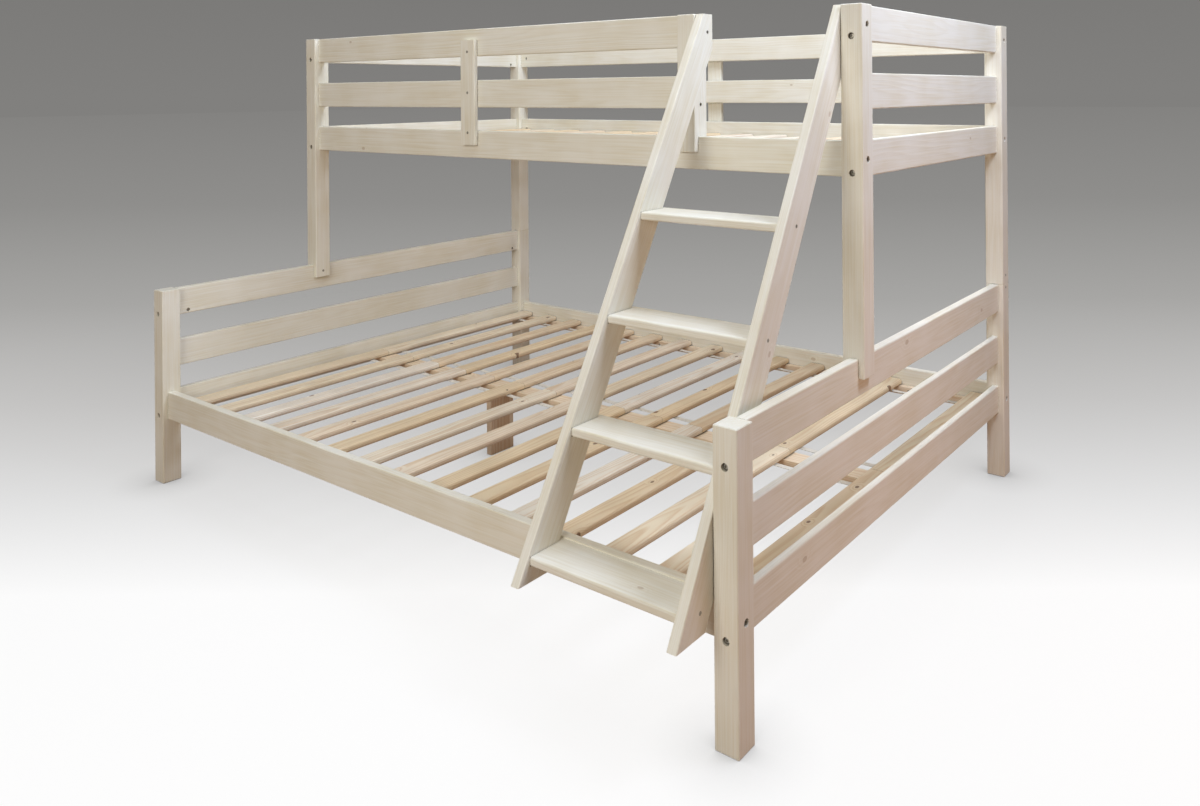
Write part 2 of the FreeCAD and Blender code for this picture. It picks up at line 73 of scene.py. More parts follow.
lens = bpy.data.cameras.new("front_right_camera")
lens.sensor_width = SENSOR_WIDTH
lens.lens = FOCAL_PX / PHOTO[0] * lens.sensor_width
lens.shift_x = (PHOTO[0] / 2 - LEVEL_POINT_PX[0]) / PHOTO[0]
lens.shift_y = (LEVEL_POINT_PX[1] - PHOTO[1] / 2) / PHOTO[0]
camera = bpy.data.objects.new("front_right_camera", lens)
turn = Matrix((right, above, -ahead)).transposed().to_4x4()
camera.matrix_world = Matrix.Translation(EYE) @ turn
bpy.context.scene.collection.objects.link(camera)
bpy.context.scene.camera = camera
print("lens: %.1f mm, shift %.3f %.3f" % (lens.lens, lens.shift_x, lens.shift_y))

# %% [markdown]
# Finishes are built from nodes. One helper adds a node, fills or links its inputs and hands back one of its
# outputs, so that a finish reads from top to bottom like a recipe. Another turns the sRGB colours given on a
# sample card into the linear values that a shader mixes correctly.

# %% Helpers for finishes
# The mix node, set to two colours: input 0 is the share of the second, and 6 and 7 are the colours
COLOUR_MIX = dict(out=2, data_type="RGBA")


def linear(hex_colour):
    """A colour written as #rrggbb in the linear values of a shader, by the sRGB formula."""
    channels = [int(hex_colour[k:k + 2], 16) / 255 for k in (1, 3, 5)]
    return [c / 12.92 if c <= 0.04045 else ((c + 0.055) / 1.055) ** 2.4 for c in channels] + [1.0]


def add(tree, kind, inputs, out=0, **settings):
    """Add a node, fill or link its inputs, and hand back one of its outputs."""
    made = tree.nodes.new(kind)
    for name, value in settings.items():
        setattr(made, name, value)
    for name, value in inputs.items():
        if isinstance(value, bpy.types.NodeSocket):
            tree.links.new(value, made.inputs[name])
        else:
            made.inputs[name].default_value = value
    return made.outputs[out] if made.outputs else made


def finish_named(name):
    made = bpy.data.materials.new(name)
    made.use_nodes = True
    made.node_tree.nodes.clear()
    return made, made.node_tree

# %% [markdown]
# Wood is a solid, so its figure is worked out in each board's own space: along the grain, across the wide
# face and through the thickness. The rings are then circles round a heart that lies outside the board, and
# one recipe gives long flames on the wide faces, close lines on the edges and arcs on the cut ends. An
# image wrapped round the board would break at every edge.

# %% Board space
first_low, first_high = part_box("ladder_tread_1")
last_low, last_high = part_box("ladder_tread_4")
lean = math.atan2(last_low[1] - first_low[1], last_high[2] - first_high[2])
print("the ladder leans %.1f degrees" % math.degrees(lean))

AXES = {"x": Vector((1, 0, 0)), "y": Vector((0, 1, 0)), "z": Vector((0, 0, 1))}


def board_frame(name):
    """The middle of a node's board, and its directions along the grain, across it and through it."""
    low, high = (Vector(corner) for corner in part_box(name))
    middle = (low + high) / 2
    if "stringer" in name:
        along = Vector((0, math.sin(lean), math.cos(lean)))
        return middle, along, Vector((0, math.cos(lean), -math.sin(lean))), AXES["x"]
    if "slats" in name:
        return middle, AXES["y"], AXES["x"], AXES["z"]
    order = sorted("xyz", key=lambda a: (high - low)["xyz".index(a)], reverse=True)
    return middle, AXES[order[0]], AXES[order[1]], AXES[order[2]]


def to_euler(along, across, through):
    if along.cross(across).dot(through) < 0:
        through = -through
    return Matrix((along, across, through)).transposed().to_euler()

# %% [markdown]
# Slats share one node, yet no two real slats are alike. The place along the row is divided by the spacing
# and rounded, which gives each slat a number. A noise that reads this number deals each slat its own tone
# and its own cut from the log. Fifteen separate materials would do the same with far more nodes.

# %% Each board's own cut
SLATS_IN_ROW = 15
SLAT_WIDTH = 0.055
# Boards are cut from random places within this many metres of noise, so that no two look alike
LOG_REACH = 40
row_low, row_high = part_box("lower_slats_front")
first_slat = row_low[0] + SLAT_WIDTH / 2
slat_pitch = (row_high[0] - row_low[0] - SLAT_WIDTH) / (SLATS_IN_ROW - 1)
print("slat spacing: %.1f mm" % (slat_pitch * 1000))


def own_cut(tree, name, cut):
    """The place in the board, the same place moved to another part of the log, and the board's draw."""
    middle, along, across, through = board_frame(name)
    place = add(tree, "ShaderNodeTexCoord", {}, out="Object")
    if "slats" in name:
        x = add(tree, "ShaderNodeSeparateXYZ", {0: place}, out="X")
        count = add(tree, "ShaderNodeMath", {0: x, 1: first_slat}, operation="SUBTRACT")
        count = add(tree, "ShaderNodeMath", {0: count, 1: slat_pitch}, operation="DIVIDE")
        count = add(tree, "ShaderNodeMath", {0: count}, operation="ROUND")
        shift = add(tree, "ShaderNodeMath", {0: count, 1: slat_pitch, 2: first_slat},
                    operation="MULTIPLY_ADD")
        centre = add(tree, "ShaderNodeCombineXYZ", {"X": shift, "Y": middle.y, "Z": middle.z})
        place = add(tree, "ShaderNodeVectorMath", {0: place, 1: centre}, operation="SUBTRACT")
        middle = Vector((0, 0, 0))
        cut = add(tree, "ShaderNodeMath", {0: count, 1: cut}, operation="ADD")
    draw = add(tree, "ShaderNodeTexWhiteNoise", {"W": cut}, out="Color", noise_dimensions="1D")
    lie = to_euler(along, across, through)
    board = add(tree, "ShaderNodeMapping", {"Vector": place, "Location": middle, "Rotation": lie},
                vector_type="TEXTURE")
    lot = add(tree, "ShaderNodeVectorMath", {0: draw, 1: [LOG_REACH] * 3}, operation="MULTIPLY")
    moved = add(tree, "ShaderNodeVectorMath", {0: board, 1: lot}, operation="ADD")
    return board, moved, draw

# %% [markdown]
# A knot is the root of a branch, so it is a round or oval spot on the wide face, and the rings bend round
# it. Cells of noise give each knot a place, and the cell's colour decides whether it is there and how big
# it is. Drawing them one by one would put the same knots on every board.

# %% Knots
# At most one knot lies in each cell, this long and wide in metres
KNOT_CELL = (0.26, 0.075)
KNOT_SCATTER = 0.9
KNOT_STRETCH = 0.6
# In radii of the knot: where its rim fades, and where the rings bend round it
KNOT_RIM = (1.15, 0.8)
RINGS_BEND = (4.5, 0.6)
print("room for a knot every %.0f mm along a board" % (KNOT_CELL[0] * 1000))


def knots_in(tree, moved, share, radii):
    """1 inside a knot, and a value that fades round it where the rings bend."""
    to_cells = (1 / KNOT_CELL[0], 1 / KNOT_CELL[1], 0)
    cells = add(tree, "ShaderNodeVectorMath", {0: moved, 1: to_cells}, operation="MULTIPLY")
    spots = {"Vector": cells, "Scale": 1.0, "Randomness": KNOT_SCATTER}
    centre = add(tree, "ShaderNodeTexVoronoi", spots, out="Position", voronoi_dimensions="2D")
    colour = centre.node.outputs["Color"]
    away = add(tree, "ShaderNodeVectorMath", {0: cells, 1: centre}, operation="SUBTRACT")
    to_metres = (KNOT_CELL[0] * KNOT_STRETCH, KNOT_CELL[1], 0)
    away = add(tree, "ShaderNodeVectorMath", {0: away, 1: to_metres}, operation="MULTIPLY")
    distance = add(tree, "ShaderNodeVectorMath", {0: away}, out="Value", operation="LENGTH")
    luck = add(tree, "ShaderNodeSeparateColor", {0: colour}, out="Red")
    size = add(tree, "ShaderNodeSeparateColor", {0: colour}, out="Green")
    there = add(tree, "ShaderNodeMath", {0: luck, 1: share}, operation="LESS_THAN")
    radius = add(tree, "ShaderNodeMapRange", {"Value": size, "To Min": radii[0], "To Max": radii[1]})
    ratio = add(tree, "ShaderNodeMath", {0: distance, 1: radius}, operation="DIVIDE")
    within = {"Value": ratio, "From Min": KNOT_RIM[0], "From Max": KNOT_RIM[1]}
    knot = add(tree, "ShaderNodeMapRange", within, interpolation_type="SMOOTHSTEP")
    round_it = {"Value": ratio, "From Min": RINGS_BEND[0], "From Max": RINGS_BEND[1]}
    bend = add(tree, "ShaderNodeMapRange", round_it, interpolation_type="SMOOTHERSTEP")
    knot = add(tree, "ShaderNodeMath", {0: knot, 1: there}, operation="MULTIPLY")
    bend = add(tree, "ShaderNodeMath", {0: bend, 1: there}, operation="MULTIPLY")
    return knot, bend

# %% [markdown]
# Each year a pine grows a pale band and a thin, darker line of late wood round its heart. So the lines are
# circles round a heart beside the board, which drifts a little along it: this gives long flames on the wide
# faces and close lines on the edges. A stripe pattern would look the same on all of them.

# %% Growth rings
RING_SPACING = 0.0045
# The heart's place beside the board and how it wanders, in metres
HEART_NEAREST = (0, -0.03, 0.035)
HEART_SPREAD = (0, 0.06, 0.09)
HEART_DRIFT = (0, 0.05, 0.03)
DRIFT_STRETCH = (0.16, 1, 1)
DRIFT_SCALE = 9.0
NOISE_MIDDLE = (0.5, 0.5, 0.5)
LOG_TAPER = 0.012
# A knot pushes this many rings aside
KNOT_PUSH = 1.6
# One year from spring to winter, and how dark each part is
YEAR = ((0.0, 0.0), (0.35, 0.12), (0.8, 1.0), (1.0, 0.05))
print("a year's ring is %.1f mm wide" % (RING_SPACING * 1000))


def late_wood_in(tree, board, moved, draw, bend):
    """How much late wood there is at a point, from 0 in the pale band to 1 in the dark line."""
    slow = add(tree, "ShaderNodeVectorMath", {0: moved, 1: DRIFT_STRETCH}, operation="MULTIPLY")
    drift = add(tree, "ShaderNodeTexNoise", {"Vector": slow, "Scale": DRIFT_SCALE, "Detail": 2.0},
                out="Color")
    drift = add(tree, "ShaderNodeVectorMath", {0: drift, 1: NOISE_MIDDLE}, operation="SUBTRACT")
    drift = add(tree, "ShaderNodeVectorMath", {0: drift, 1: HEART_DRIFT}, operation="MULTIPLY")
    heart = add(tree, "ShaderNodeVectorMath", {0: draw, 1: HEART_SPREAD, 2: HEART_NEAREST},
                operation="MULTIPLY_ADD")
    section = add(tree, "ShaderNodeVectorMath", {0: board, 1: (0, 1, 1), 2: heart},
                  operation="MULTIPLY_ADD")
    section = add(tree, "ShaderNodeVectorMath", {0: section, 1: drift}, operation="ADD")
    reach = add(tree, "ShaderNodeVectorMath", {0: section}, out="Value", operation="LENGTH")
    along = add(tree, "ShaderNodeSeparateXYZ", {0: board}, out="X")
    reach = add(tree, "ShaderNodeMath", {0: along, 1: LOG_TAPER, 2: reach}, operation="MULTIPLY_ADD")
    year = add(tree, "ShaderNodeMath", {0: reach, 1: RING_SPACING}, operation="DIVIDE")
    year = add(tree, "ShaderNodeMath", {0: bend, 1: KNOT_PUSH, 2: year}, operation="MULTIPLY_ADD")
    year = add(tree, "ShaderNodeMath", {0: year}, operation="FRACT")
    late = add(tree, "ShaderNodeValToRGB", {0: year})
    ramp = late.node.color_ramp
    for _ in YEAR[2:]:
        ramp.elements.new(0.5)
    for element, (at, grey) in zip(ramp.elements, YEAR):
        element.position = at
        element.color = (grey, grey, grey, 1)
    return late

# %% [markdown]
# Last come the fine fibres along the board and the slow cloudiness of timber. Real fibres are 0.03 mm wide,
# far too fine to show at this distance, so bundles of them are drawn, 2 mm wide.

# %% Fibres, and the whole figure
FIBRE_WIDTH = 0.002
FIBRE_STRETCH = (0.02, 1, 1)
CLOUDS_PER_METRE = 7.0
print("fibres drawn %.0f mm wide, clouds %.0f mm" % (FIBRE_WIDTH * 1000, 1000 / CLOUDS_PER_METRE))


def pine_figure(tree, name, cut, knot_share, knot_radii):
    """The late wood, fibres, knots and cloudiness at a point, and the board's own draw."""
    board, moved, draw = own_cut(tree, name, cut)
    knot, bend = knots_in(tree, moved, knot_share, knot_radii)
    late = late_wood_in(tree, board, moved, draw, bend)
    thin = add(tree, "ShaderNodeVectorMath", {0: moved, 1: FIBRE_STRETCH}, operation="MULTIPLY")
    # A wave of the noise has a light and a dark half, and a fibre is one of them
    fibre = add(tree, "ShaderNodeTexNoise", {"Vector": thin, "Scale": 0.5 / FIBRE_WIDTH, "Detail": 3.0},
                out="Fac")
    cloud = add(tree, "ShaderNodeTexNoise", {"Vector": moved, "Scale": CLOUDS_PER_METRE, "Detail": 2.0},
                out="Fac")
    return dict(late=late, fibre=fibre, knot=knot, cloud=cloud, draw=draw)

# %% [markdown]
# Two places on a real board differ from its faces. The rounded edges are rubbed by hands and sandpaper, and
# closed corners such as bolt holes and the lines between boards are painted dark brown: painted shade, with
# dust and raw wood. The first is found from how far the surface turns away from the board's own axes, the
# second from how little open air there is within 12 mm.

# %% Edges, and painted shade in corners
# Cosines of the surface's turn from the board's axes: where an edge begins, and where it is full
EDGE_TURN = (0.99, 0.75)
CORNER_REACH = 0.012
CORNER_RAYS = 4
# Shares of open air: where the painted corner shade begins, and where it is darkest
CORNER_AIR = (0.5, 0.05)
# The painted shade of closed corners, with dust and raw wood: its dark brown and its strongest share
CORNER_SHADE_AND_DUST_BROWN = "#3d2a1c"
CORNER_SHADE_AND_DUST_SHARE = 0.85


def rounded_edge(tree, name):
    """1 on the board's rounded edges and 0 on its flats."""
    facing = add(tree, "ShaderNodeNewGeometry", {}, out="Normal")
    sides = []
    for way in board_frame(name)[1:]:
        dot = add(tree, "ShaderNodeVectorMath", {0: facing, 1: way}, out="Value", operation="DOT_PRODUCT")
        sides.append(add(tree, "ShaderNodeMath", {0: dot}, operation="ABSOLUTE"))
    most = add(tree, "ShaderNodeMath", {0: sides[0], 1: sides[1]}, operation="MAXIMUM")
    most = add(tree, "ShaderNodeMath", {0: most, 1: sides[2]}, operation="MAXIMUM")
    return add(tree, "ShaderNodeMapRange", {"Value": most, "From Min": EDGE_TURN[0],
                                            "From Max": EDGE_TURN[1]})


def shade_and_dust_in_corners(tree, colour):
    """The colour, blended to a dark brown of painted shade and dust where the surface is closed in."""
    air = add(tree, "ShaderNodeAmbientOcclusion", {"Distance": CORNER_REACH}, out="AO", samples=CORNER_RAYS)
    closed = add(tree, "ShaderNodeMapRange", {"Value": air, "From Min": CORNER_AIR[0],
                                              "From Max": CORNER_AIR[1], "To Max": CORNER_SHADE_AND_DUST_SHARE})
    return add(tree, "ShaderNodeMix", {0: closed, 6: colour, 7: linear(CORNER_SHADE_AND_DUST_BROWN)}, **COLOUR_MIX)

# %% [markdown]
# Painted or bare, every pine surface ends in the same way: the knots and the painted shade of the closed
# corners go over its colour, its fibres make it a little rougher in places, and late wood and fibres stand up
# from it by less than half a millimetre, because planing and drying leave them proud. This relief is far too
# fine for geometry, so it is a bump.

# %% A pine surface
PINE_IOR = 1.5


def pine_surface(tree, figure, colour, knot, rough, relief):
    """The last nodes of a pine finish. knot is a colour and a share, relief a strength and a depth."""
    spot = add(tree, "ShaderNodeMath", {0: figure["knot"], 1: knot[1]}, operation="MULTIPLY")
    colour = add(tree, "ShaderNodeMix", {0: spot, 6: colour, 7: linear(knot[0])}, **COLOUR_MIX)
    # Painted shade, with dust and raw wood, darkens the closed corners
    colour = shade_and_dust_in_corners(tree, colour)
    rough = add(tree, "ShaderNodeMapRange", {"Value": figure["fibre"], "To Min": rough[0],
                                             "To Max": rough[1]})
    ridge = add(tree, "ShaderNodeMath", {0: figure["fibre"], 1: figure["late"]}, operation="ADD")
    bump = add(tree, "ShaderNodeBump", {"Height": ridge, "Strength": relief[0], "Distance": relief[1]})
    shader = add(tree, "ShaderNodeBsdfPrincipled", {"Base Color": colour, "Roughness": rough,
                                                    "Normal": bump, "IOR": PINE_IOR})
    add(tree, "ShaderNodeOutputMaterial", {"Surface": shader})

# %% [markdown]
# Limewash is thinned white paint that is brushed on and wiped, so the pine's lines stay visible as pale
# beige streaks and the pores and knots keep more colour than the rest. Where hands and mattresses rub the
# rounded edges, the wash is thinner and the wood warmer. A clear matt lacquer gives it a low, even sheen.

# %% Limewashed pine
WASH = "#f4f3ea"
WASH_THIN = "#e9e4d2"
WASH_LINE = "#cfc09c"
WASH_KNOT = ("#a98d68", 0.4)
# Between these values of the cloud and fibre noise the wash goes from thick to thin
WASH_THINS = (0.16, 0.42)
LINE_SHARE = 0.11
RUBBED_SHARE = 0.5
PAINTED_KNOTS = dict(knot_share=0.1, knot_radii=(0.003, 0.006))
LACQUER_ROUGH = (0.42, 0.6)
LACQUER_RELIEF = (0.35, 0.0004)


def limewashed_pine(name, cut):
    material, tree = finish_named("limewashed_pine_" + name)
    figure = pine_figure(tree, name, cut, **PAINTED_KNOTS)
    cover = add(tree, "ShaderNodeMath", {0: figure["cloud"], 1: figure["fibre"]}, operation="MULTIPLY")
    cover = add(tree, "ShaderNodeMapRange", {"Value": cover, "From Min": WASH_THINS[0],
                                             "From Max": WASH_THINS[1]})
    colour = add(tree, "ShaderNodeMix", {0: cover, 6: linear(WASH), 7: linear(WASH_THIN)}, **COLOUR_MIX)
    line = add(tree, "ShaderNodeMath", {0: figure["late"], 1: LINE_SHARE}, operation="MULTIPLY")
    colour = add(tree, "ShaderNodeMix", {0: line, 6: colour, 7: linear(WASH_LINE)}, **COLOUR_MIX)
    edge = rounded_edge(tree, name)
    rubbed = add(tree, "ShaderNodeMath", {0: edge, 1: cover}, operation="MULTIPLY")
    rubbed = add(tree, "ShaderNodeMath", {0: rubbed, 1: RUBBED_SHARE}, operation="MULTIPLY")
    colour = add(tree, "ShaderNodeMix", {0: rubbed, 6: colour, 7: linear(WASH_LINE)}, **COLOUR_MIX)
    pine_surface(tree, figure, colour, WASH_KNOT, LACQUER_ROUGH, LACQUER_RELIEF)
    return material

# %% [markdown]
# The slats, the strips that carry them and the middle beam are the same pine, planed and left bare. Bare
# pine is cream to honey, each slat from another part of the tree, with clear rings and brown knots. It is
# rougher than the lacquered frame.

# %% Bare planed pine
SLAT_TONES = ("#fefaf0", "#faf1dc", "#f3e0be", "#f7e7cf", "#fdf8ec")
# Between these values of the cloud noise a board goes from its darker to its lighter tone
CLOUD_RANGE = (0.3, 0.7)
CLOUD_TONE = (0.9, 1.06)
LATE_WOOD = ("#d6b080", 0.9)
BARE_KNOT = ("#77502f", 0.85)
BARE_KNOTS = dict(knot_share=0.5, knot_radii=(0.0025, 0.006))
PLANED_ROUGH = (0.55, 0.75)
PLANED_RELIEF = (0.4, 0.0005)


def planed_pine(name, cut):
    material, tree = finish_named("planed_pine_" + name)
    figure = pine_figure(tree, name, cut, **BARE_KNOTS)
    tone_number = add(tree, "ShaderNodeSeparateColor", {0: figure["draw"]}, out="Blue")
    tone = add(tree, "ShaderNodeValToRGB", {0: tone_number})
    ramp = tone.node.color_ramp
    ramp.elements[0].color = linear(SLAT_TONES[0])
    ramp.elements[1].color = linear(SLAT_TONES[-1])
    for k, colour in enumerate(SLAT_TONES[1:-1], 1):
        ramp.elements.new(k / (len(SLAT_TONES) - 1)).color = linear(colour)
    blotch = add(tree, "ShaderNodeMapRange", {"Value": figure["cloud"], "From Min": CLOUD_RANGE[0],
                                              "From Max": CLOUD_RANGE[1], "To Min": CLOUD_TONE[0],
                                              "To Max": CLOUD_TONE[1]})
    colour = add(tree, "ShaderNodeVectorMath", {0: tone, 1: blotch}, operation="MULTIPLY")
    line = add(tree, "ShaderNodeMath", {0: figure["late"], 1: figure["fibre"]}, operation="MULTIPLY")
    line = add(tree, "ShaderNodeMath", {0: line, 1: LATE_WOOD[1]}, operation="MULTIPLY", use_clamp=True)
    colour = add(tree, "ShaderNodeMix", {0: line, 6: colour, 7: linear(LATE_WOOD[0])}, **COLOUR_MIX)
    pine_surface(tree, figure, colour, BARE_KNOT, PLANED_ROUGH, PLANED_RELIEF)
    return material

# %% [markdown]
# The bolts, barrel nuts and screws are steel with a thin zinc plating from a rotating drum. Tumbling leaves
# it dull grey, faintly blotched and finely scratched, brighter than raw steel but never a mirror. Beside
# pale wood it looks a little warm.

# %% Zinc-plated steel
ZINC_GREYS = ("#8d877c", "#b8b2a6")
# Blotches are 2.5 mm wide, and scratches 1.1 mm long and a twelfth as wide
BLOTCHES_PER_METRE = 400.0
SCRATCHES_PER_METRE = 900.0
SCRATCH_STRETCH = (1, 1, 12)
ZINC_ROUGH = (0.28, 0.5)
ZINC_RELIEF = (0.2, 0.0001)


def zinc_plated_steel():
    material, tree = finish_named("zinc_plated_steel")
    place = add(tree, "ShaderNodeTexCoord", {}, out="Object")
    blotch = add(tree, "ShaderNodeTexNoise", {"Vector": place, "Scale": BLOTCHES_PER_METRE, "Detail": 3.0},
                 out="Fac")
    drawn_out = add(tree, "ShaderNodeVectorMath", {0: place, 1: SCRATCH_STRETCH}, operation="MULTIPLY")
    scratch = add(tree, "ShaderNodeTexNoise", {"Vector": drawn_out, "Scale": SCRATCHES_PER_METRE}, out="Fac")
    greys = [linear(grey) for grey in ZINC_GREYS]
    colour = add(tree, "ShaderNodeMix", {0: blotch, 6: greys[0], 7: greys[1]}, **COLOUR_MIX)
    rough = add(tree, "ShaderNodeMapRange", {"Value": scratch, "To Min": ZINC_ROUGH[0],
                                             "To Max": ZINC_ROUGH[1]})
    bump = add(tree, "ShaderNodeBump", {"Height": scratch, "Strength": ZINC_RELIEF[0],
                                        "Distance": ZINC_RELIEF[1]})
    shader = add(tree, "ShaderNodeBsdfPrincipled", {"Base Color": colour, "Metallic": 1.0,
                                                    "Roughness": rough, "Normal": bump})
    add(tree, "ShaderNodeOutputMaterial", {"Surface": shader})
    return material


zinc = zinc_plated_steel()
print(zinc.name, "for bolts, nuts and screws")

# %% [markdown]
# A workshop limewashes the boards that show and leaves the inner ones bare: slats, the strips below them,
# the middle beam and the pins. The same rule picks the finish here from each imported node's name. Every
# board gets a material of its own, because its figure depends on where the board lies and on a number drawn
# for it, its cut. The webbing waits for its cotton, which comes last.

# %% Dress every packed board
BARE = ("slats", "ledger", "centre_beam", "post_pins")
METAL = ("bolts", "nuts", "_screws", "insert")
SEED = 7
CUTS = (0.5, 9.5)
dice = random.Random(SEED)


def only_slot(mesh, material):
    mesh.materials.clear()
    mesh.materials.append(material)


for name in sorted(nodes):
    if any(word in name for word in METAL):
        only_slot(nodes[name].data, zinc)
        continue
    cut = dice.uniform(*CUTS)
    if any(word in name for word in BARE):
        only_slot(nodes[name].data, planed_pine(name, cut))
    elif "webbing" not in name:
        only_slot(nodes[name].data, limewashed_pine(name, cut))
print("finishes:", len(bpy.data.materials))

# %% [markdown]
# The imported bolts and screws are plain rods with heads. Real ones have a thread, a rounded rim, and a
# recess for the driver: a cross in the screws, a hexagon in the bolts and a slot in the barrel nuts. The
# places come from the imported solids: each loose part of a node's mesh is one fastener, its long side is its
# axis, and its wider end is its head.

# %% Find each fastener
SAME_POINT = 1e-6
AT_THE_END = 1e-4


def loose_parts(shape):
    """The places of the points of each loose part."""
    left, parts = set(shape.verts), []
    while left:
        group, front = set(), [left.pop()]
        while front:
            vert = front.pop()
            group.add(vert)
            for edge in vert.link_edges:
                other = edge.other_vert(vert)
                if other in left:
                    left.remove(other)
                    front.append(other)
        parts.append([vert.co.copy() for vert in group])
    return parts


def fastener_row(points):
    """Where a fastener's head is, its direction, its length and the radii of its head and its tail."""
    low = Vector([min(p[k] for p in points) for k in range(3)])
    high = Vector([max(p[k] for p in points) for k in range(3)])
    axis = max(range(3), key=lambda k: high[k] - low[k])
    middle = (low + high) / 2
    round_axis = [k for k in range(3) if k != axis]
    reach = {}
    for end in (low[axis], high[axis]):
        near = [p for p in points if abs(p[axis] - end) < AT_THE_END]
        reach[end] = max(math.dist([p[k] for k in round_axis], [middle[k] for k in round_axis])
                         for p in near)
    head = max(reach, key=reach.get)
    tail = low[axis] + high[axis] - head
    place = middle.copy()
    place[axis] = head
    way = Vector((0, 0, 0))
    way[axis] = 1 if tail > head else -1
    return dict(place=place, way=way, length=abs(tail - head), head=reach[head], tail=reach[tail])


def fasteners_in(name):
    """A row for each solid of the node, in the order of their places."""
    shape = bmesh.new()
    shape.from_mesh(nodes[name].data)
    bmesh.ops.remove_doubles(shape, verts=shape.verts, dist=SAME_POINT)
    found = [fastener_row(points) for points in loose_parts(shape)]
    shape.free()
    return sorted(found, key=lambda row: tuple(round(c, 4) for c in row["place"]))


for node in sorted(n for n in nodes if n.endswith(("bolts", "nuts", "_screws"))):
    print(node, len(fasteners_in(node)), "pieces")

# %% [markdown]
# Every fastener is turned: rings of points at given radii, joined into a skin. The driver's recess is one
# more set of rings that goes back down inside the head, with the outline of a cross, hexagon or slot. The
# thread is a real spiral, a crest and a root that climb together.

# %% Turned parts
AROUND = 24
ANGLES = [2 * math.pi * k / AROUND for k in range(AROUND)]
# Half the width of a cross's arm or of a slit, as a share of its reach
SLOT_HALF = 0.26


def hexagon(angle, size):
    """How far a hexagon reaches at an angle, where size is its reach at a corner."""
    return size * math.cos(math.pi / 6) / math.cos((angle % (math.pi / 3)) - math.pi / 6)


def cross(angle, size):
    """How far a cross reaches at an angle: all of its size along an arm, and less between two arms."""
    off_arm = abs((angle + math.pi / 4) % (math.pi / 2) - math.pi / 4)
    # The lower bound keeps the division from zero, at angles where the size is the limit anyway
    return min(size, size * SLOT_HALF / max(math.sin(off_arm), SLOT_HALF / 2))


def slit(angle, size):
    return min(size, size * SLOT_HALF / max(abs(math.sin(angle)), SLOT_HALF / 2))


def ring(shape, turned, radius, depth, outline=None):
    """A round of points at a depth below the head's face, on a circle or on another outline."""
    place, along, one, two = turned
    points = []
    for angle in ANGLES:
        reach = outline(angle, radius) if outline else radius
        out = one * math.cos(angle) + two * math.sin(angle)
        points.append(shape.verts.new(place + along * depth + out * reach))
    return points


def skin(shape, rings):
    """Quads from each ring to the next."""
    for here, there in zip(rings, rings[1:]):
        for k in range(AROUND):
            shape.faces.new((here[k], here[(k + 1) % AROUND], there[(k + 1) % AROUND], there[k]))


def turned_at(row):
    """A fastener's place, its axis and two directions across it."""
    along = row["way"]
    one = along.orthogonal().normalized()
    return row["place"], along, one, along.cross(one)

# %% [markdown]
# A thread is one crest and one root that climb together round the rod. Each is a spiral of points, and quads
# join them turn by turn. Stacked rings would be simpler, but real threads never close on themselves. A wood
# screw's last turns narrow to a point, while a bolt's end is blunt.

# %% Threads
# The turns that the end takes up, and how narrow the thread is where it starts
POINTED = dict(turns=1.6, narrowest=0.35)
BLUNT = dict(turns=0.6, narrowest=0.85)
# The thread begins this share of a turn past the shank, and narrows over the last turns
RUN_IN = 0.1
NARROWING_TURNS = 2


def spiral(shape, turned, start, crest, root, pitch, tip, end_form):
    """A thread from the ring start, one crest and one root for each turn, closed at its end, tip."""
    place, along, one, two = turned
    begin = (start[0].co - place).dot(along) + pitch * RUN_IN
    steps = int((tip - begin) / pitch - end_form["turns"]) * AROUND
    crests, roots = [], []
    for k in range(steps + 1):
        angle = 2 * math.pi * k / AROUND
        out = one * math.cos(angle) + two * math.sin(angle)
        depth = begin + pitch * k / AROUND
        taper = min(1.0, (steps - k) / (AROUND * NARROWING_TURNS) + end_form["narrowest"])
        crests.append(shape.verts.new(place + along * depth + out * crest * taper))
        roots.append(shape.verts.new(place + along * (depth + pitch / 2) + out * root * taper))
    for k in range(AROUND):
        shape.faces.new((start[k], start[(k + 1) % AROUND], crests[k + 1], crests[k]))
    shape.faces.new((start[0], crests[AROUND], roots[0], crests[0]))
    for k in range(steps):
        shape.faces.new((crests[k], crests[k + 1], roots[k + 1], roots[k]))
        if k + AROUND < steps:
            shape.faces.new((roots[k], roots[k + 1], crests[k + 1 + AROUND], crests[k + AROUND]))
    end = shape.verts.new(place + along * tip)
    last = steps - AROUND
    for k in range(last, steps):
        shape.faces.new((roots[k], roots[k + 1], end))
    shape.faces.new((roots[last], end, roots[steps], crests[steps]))

# %% [markdown]
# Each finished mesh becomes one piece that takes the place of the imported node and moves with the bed. Turned
# steel is round, so the skin is shaded smooth, except where two faces meet at more than 35 degrees.

# %% Make a piece
SHARP_FROM = math.radians(35)


def piece_from(shape, name, node, material):
    bmesh.ops.recalc_face_normals(shape, faces=shape.faces)
    mesh = bpy.data.meshes.new(name)
    shape.to_mesh(mesh)
    shape.free()
    mesh.shade_smooth()
    mesh.set_sharp_from_angle(angle=SHARP_FROM)
    mesh.materials.append(material)
    piece = bpy.data.objects.new(name, mesh)
    bpy.context.scene.collection.objects.link(piece)
    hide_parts(node)
    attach(piece, "root")
    print(name, len(mesh.polygons), "faces")

# %% [markdown]
# The wood screws hold the treads, battens, ledgers, post pins and forked feet. Their countersunk heads sit
# flush, with a cross recess, a bare neck and a coarse sharp thread that cuts its own way into the pine.

# %% Wood screws
SCREW_PITCH = 0.0018
HEAD_DEPTH = 0.0021
RIM_DEPTH = 0.0002
RECESS_DEPTH = 0.0014
# Shares of the head's radius: the recess's bottom and top, and the rim
RECESS_REACH = (0.3, 0.66)
RIM_REACH = 0.95
